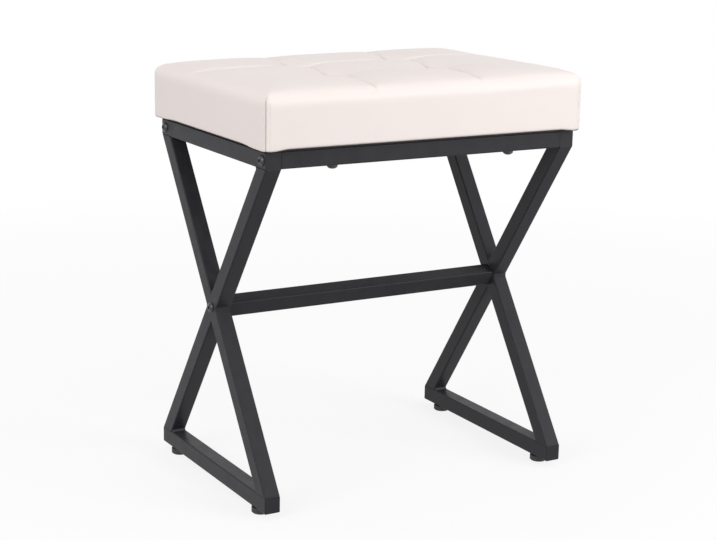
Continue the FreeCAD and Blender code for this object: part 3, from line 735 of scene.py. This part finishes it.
def set_tree_input(modifier, label, value):
    """Sets one named input of a geometry nodes modifier."""
    for socket in modifier.node_group.interface.items_tree:
        if socket.name == label and socket.in_out == "INPUT":
            modifier[socket.identifier] = value


cream_thread = finish(
    "cream_thread", (0.88, 0.81, 0.78), tone=0.04, patch=200.0, grain=2600.0,
    rough=(0.5, 0.65), bump_mm=0.04,
)
stitches = link_piece("corner_stitches", stitch_lines(pad))
sewing = stitches.modifiers.new("sewing", "NODES")
sewing.node_group = stitch_tree()
set_tree_input(sewing, "Pitch", 3.6 * MM)
set_tree_input(sewing, "Length", 3.1 * MM)
set_tree_input(sewing, "Thread", 0.7 * MM)
set_tree_input(sewing, "Material", cream_thread)
apply_modifiers(stitches)
for face in stitches.data.polygons:
    face.use_smooth = True
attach(stitches, "frame")

# Floor, light and camera
# A pale studio floor that runs out to white, a broad lamp at the front right, a weaker one at the
# left and a faint one above, and a long lens that looks down on the stool from its front left.
# The floor can't be seen from below, so that the stool's underside can.

FLOOR_REACH = 6.0
FLOOR_TONE = (0.22, 0.22, 0.22)    # for the light that it gives back
SHADOW_WHITE = 0.82                # white share near the stool; the rest shows its shadow


def path_seen(tree):
    """1 for camera, glossy and transmission rays, 0 for the light that the floor gives back."""
    path = tree.nodes.new("ShaderNodeLightPath")
    seen = math_node(tree, "MAXIMUM", path.outputs["Is Camera Ray"], path.outputs["Is Glossy Ray"])
    return math_node(tree, "MAXIMUM", seen, path.outputs["Is Transmission Ray"])


def make_floor():
    """One large square that is white to the camera and grey in the light that it gives back."""
    mesh = bpy.data.meshes.new("studio_floor")
    corners = [(-FLOOR_REACH, -FLOOR_REACH, 0.0), (FLOOR_REACH, -FLOOR_REACH, 0.0)]
    corners += [(FLOOR_REACH, FLOOR_REACH, 0.0), (-FLOOR_REACH, FLOOR_REACH, 0.0)]
    mesh.from_pydata(corners, [], [(0, 1, 2, 3)])
    material = bpy.data.materials.new("pale_floor")
    material.use_nodes = True
    tree = material.node_tree
    paper = tree.nodes["Principled BSDF"]
    paper.inputs["Base Color"].default_value = (*FLOOR_TONE, 1.0)
    paper.inputs["Roughness"].default_value = 0.9
    paper.inputs["Specular IOR Level"].default_value = 0.0
    lit = tree.nodes.new("ShaderNodeBsdfDiffuse")
    lit.inputs["Color"].default_value = (0.95, 0.95, 0.95, 1.0)
    glow = tree.nodes.new("ShaderNodeEmission")
    glow.inputs["Strength"].default_value = 1.0
    split = tree.nodes.new("ShaderNodeSeparateXYZ")
    tree.links.new(tree.nodes.new("ShaderNodeTexCoord").outputs["Object"], split.inputs["Vector"])
    far = math_node(tree, "MULTIPLY", split.outputs["X"], split.outputs["X"])
    far = math_node(tree, "ADD", far, math_node(tree, "MULTIPLY", split.outputs["Y"], split.outputs["Y"]))
    white = mapped(tree, far, 0.1, 3.0, SHADOW_WHITE, 1.0)
    shown = tree.nodes.new("ShaderNodeMixShader")
    tree.links.new(white, shown.inputs["Fac"])
    tree.links.new(lit.outputs["BSDF"], shown.inputs[1])
    tree.links.new(glow.outputs["Emission"], shown.inputs[2])
    mix = tree.nodes.new("ShaderNodeMixShader")
    tree.links.new(path_seen(tree), mix.inputs["Fac"])
    tree.links.new(paper.outputs["BSDF"], mix.inputs[1])
    tree.links.new(shown.outputs["Shader"], mix.inputs[2])
    sides = tree.nodes.new("ShaderNodeMixShader")
    tree.links.new(tree.nodes.new("ShaderNodeNewGeometry").outputs["Backfacing"], sides.inputs["Fac"])
    tree.links.new(mix.outputs["Shader"], sides.inputs[1])
    tree.links.new(tree.nodes.new("ShaderNodeBsdfTransparent").outputs["BSDF"], sides.inputs[2])
    tree.links.new(sides.outputs["Shader"], tree.nodes["Material Output"].inputs["Surface"])
    mesh.materials.append(material)
    return link_piece("studio_floor", mesh)


make_floor()


def make_world():
    """Soft light from all round, before a white background."""
    world = bpy.data.worlds.new("studio")
    world.use_nodes = True
    tree = world.node_tree
    soft = tree.nodes["Background"]
    soft.inputs["Color"].default_value = (1.0, 1.0, 1.0, 1.0)
    soft.inputs["Strength"].default_value = 0.58
    white = tree.nodes.new("ShaderNodeBackground")
    white.inputs["Color"].default_value = (1.0, 1.0, 1.0, 1.0)
    white.inputs["Strength"].default_value = 1.0
    mix = tree.nodes.new("ShaderNodeMixShader")
    tree.links.new(path_seen(tree), mix.inputs["Fac"])
    tree.links.new(soft.outputs["Background"], mix.inputs[1])
    tree.links.new(white.outputs["Background"], mix.inputs[2])
    tree.links.new(mix.outputs["Shader"], tree.nodes["World Output"].inputs["Surface"])
    bpy.context.scene.world = world


make_world()


def lamp(name, place, target, size, power):
    """A square area lamp that faces the target."""
    light = bpy.data.lights.new(name, "AREA")
    light.shape = "SQUARE"
    light.size = size
    light.energy = power
    holder = bpy.data.objects.new(name, light)
    bpy.context.scene.collection.objects.link(holder)
    holder.location = place
    holder.rotation_euler = (Vector(target) - Vector(place)).to_track_quat("-Z", "Y").to_euler()


lamp("front_lamp", (1.44, -2.10, 0.96), (0.0, 0.0, 0.3), 1.4, 37.0)
lamp("left_lamp", (-2.31, -0.77, 1.20), (0.0, 0.0, 0.3), 1.4, 29.0)
lamp("high_lamp", (1.17, -1.30, 2.22), (0.0, 0.0, 0.3), 1.4, 4.0)

CAMERA_PLACE = (-0.98828, -1.69167, 0.70221)
CAMERA_YAW = -30.12           # degrees, turned to the right of straight ahead
CAMERA_PITCH = -13.42
CAMERA_ROLL = 1.13
LENS_MM = 84.60               # on a 36 mm wide frame

eye = bpy.data.cameras.new("eye")
eye.sensor_fit = "HORIZONTAL"
eye.sensor_width = 36.0
eye.lens = LENS_MM
viewer = bpy.data.objects.new("viewer", eye)
bpy.context.scene.collection.objects.link(viewer)
viewer.location = CAMERA_PLACE
turn = Euler((math.radians(90.0 + CAMERA_PITCH), 0.0, math.radians(CAMERA_YAW)), "XYZ").to_matrix()
roll = Euler((0.0, 0.0, math.radians(CAMERA_ROLL)), "XYZ").to_matrix()
viewer.rotation_euler = (turn @ roll).to_euler()
bpy.context.scene.camera = viewer
bpy.context.scene.view_settings.view_transform = "Standard"
